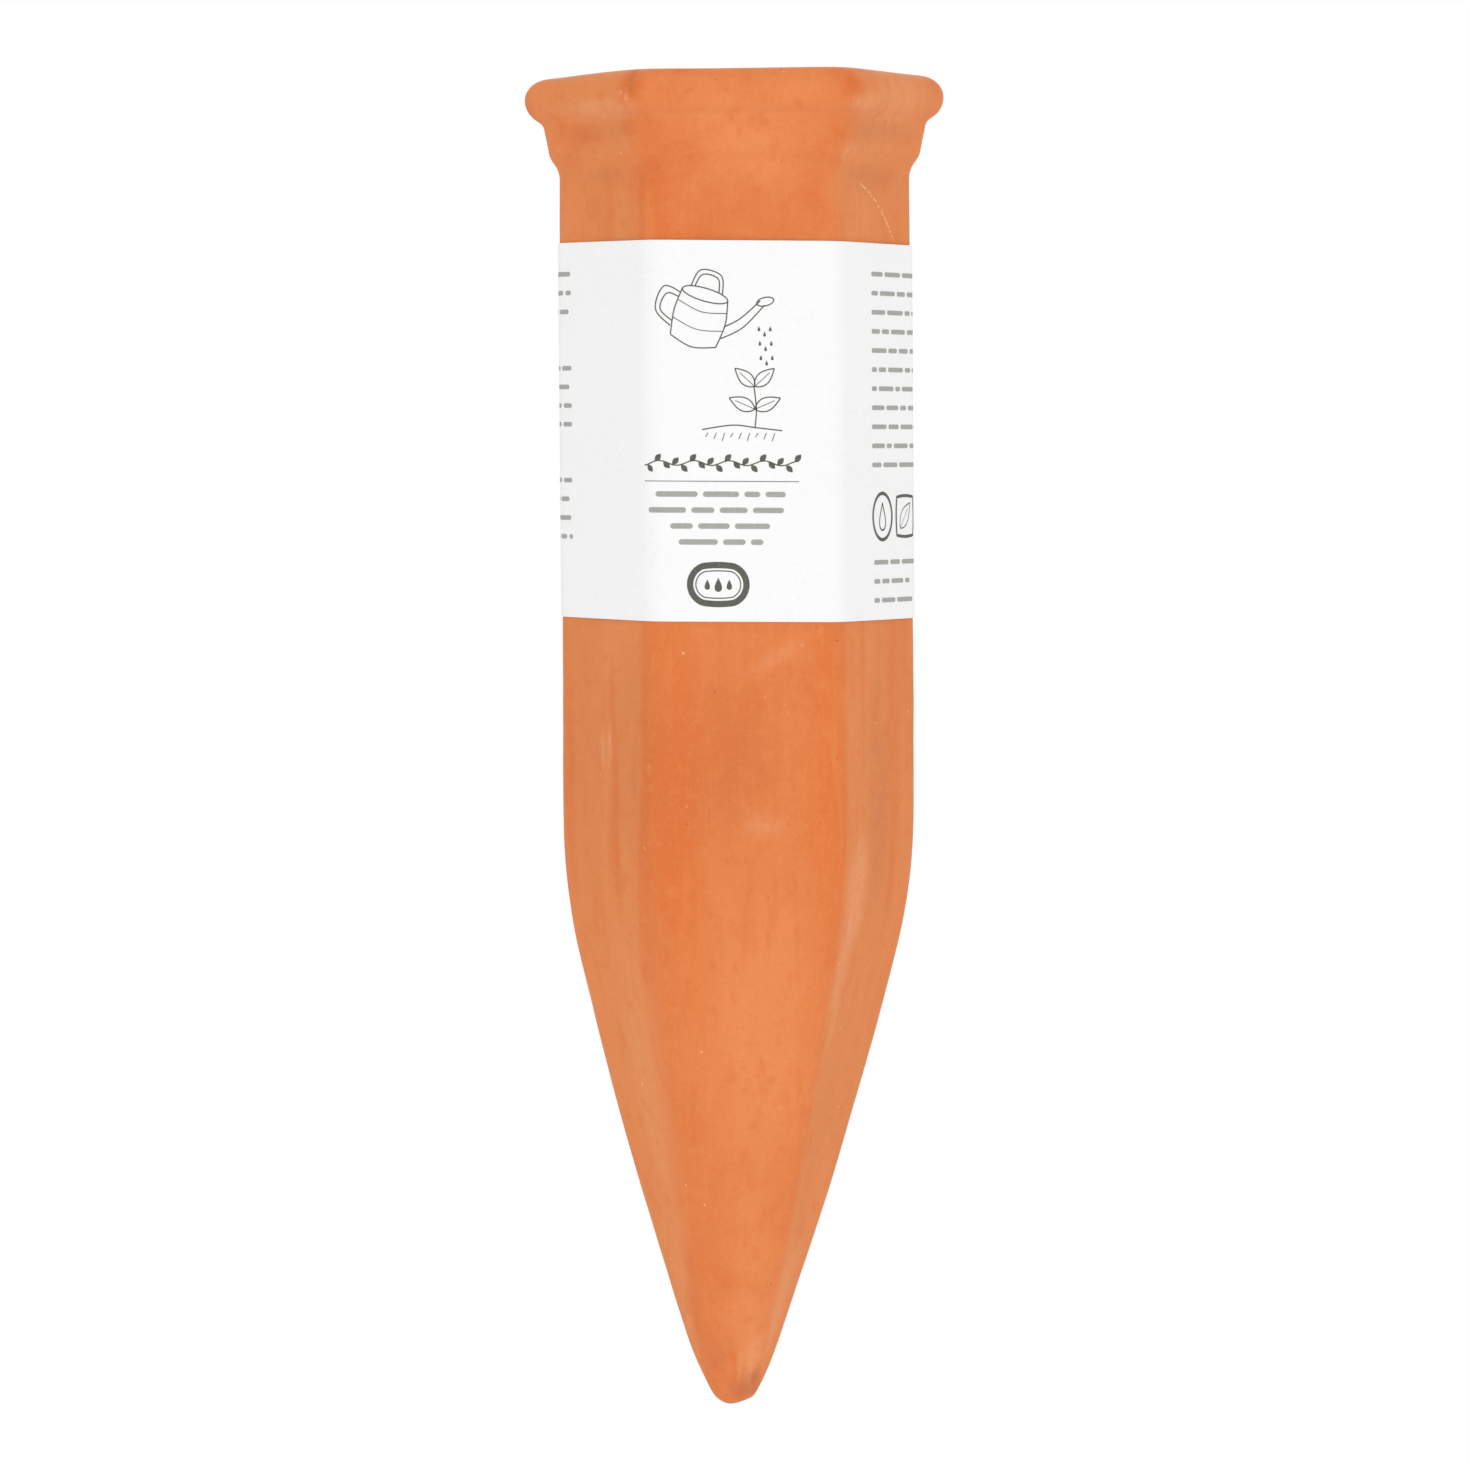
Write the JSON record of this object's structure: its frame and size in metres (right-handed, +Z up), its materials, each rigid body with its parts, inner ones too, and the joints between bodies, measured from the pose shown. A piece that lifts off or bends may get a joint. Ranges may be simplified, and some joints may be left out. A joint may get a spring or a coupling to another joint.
{
  "type": "self watering spike",
  "caption": "Hollow terracotta watering spike: a hexagonal tube with a beaded rim and a long tapered point, wrapped in a white paper band that slides off.",
  "frame": {"origin": "the blunt tip, on the spike's axis, where it enters the soil first", "axes": "+Z up the axis from the tip to the mouth; a flat face of the hexagonal body looks along -Y, and the paper band's lap is on the face that looks along +Y"},
  "size_m": [0.0568, 0.0506, 0.18],
  "materials": {
    "fired_clay": "matte",
    "white_paper": "matte",
    "dry_glue": "satin"
  },
  "bodies": {
    "spike": {"terracotta_body": "fired_clay"},
    "sleeve": {"paper_sleeve": "white_paper", "sleeve_glue": "dry_glue"}
  },
  "joints": [
    {"name": "sleeve_slide", "type": "slide", "parent": "spike", "child": "sleeve", "axis": [0, 0, 1], "range_m": [-0.16, 0.008]}
  ]
}
